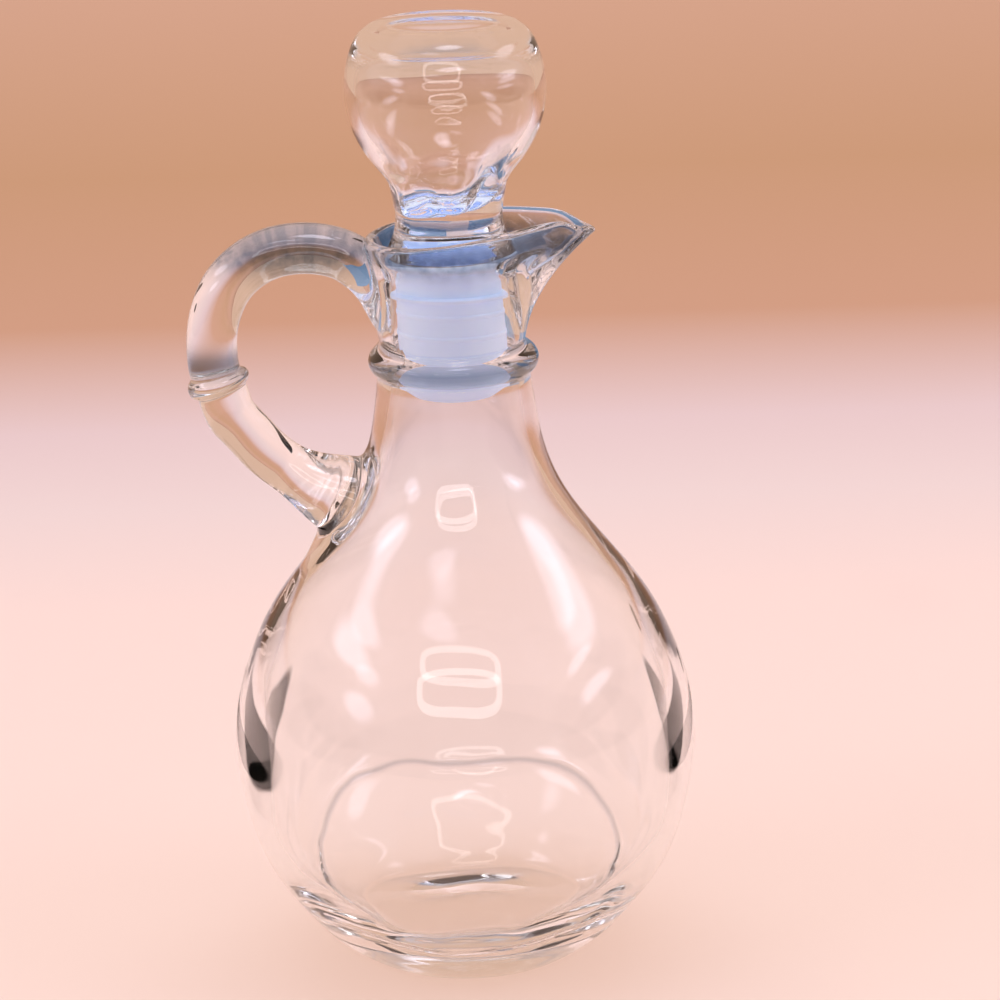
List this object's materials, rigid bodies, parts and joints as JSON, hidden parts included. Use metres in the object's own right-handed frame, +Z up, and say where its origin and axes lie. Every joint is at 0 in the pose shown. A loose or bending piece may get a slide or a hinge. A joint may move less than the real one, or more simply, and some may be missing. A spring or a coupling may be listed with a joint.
{
  "type": "glass cruet",
  "caption": "Clear pressed-glass cruet, empty, with a pear-shaped belly, a loop handle, a pouring lip and a hollow ball stopper in a milky plastic sleeve.",
  "frame": {"origin": "on the surface it stands on, under the middle of the bounding box; the bottle's axis is 3 mm towards the spout from it", "axes": "+Z up, +X towards the spout, -X towards the handle"},
  "size_m": [0.0949, 0.0888, 0.181],
  "materials": {
    "clear_glass": "clear pressed glass, slightly wavy",
    "stopper_glass": "clear blown glass, slightly wavy",
    "milky_plastic": "translucent white with a lavender cast, satin"
  },
  "bodies": {
    "root": {"cruet_bottle": "clear_glass", "stopper_ball": "stopper_glass", "stopper_sleeve": "milky_plastic"}
  },
  "joints": []
}
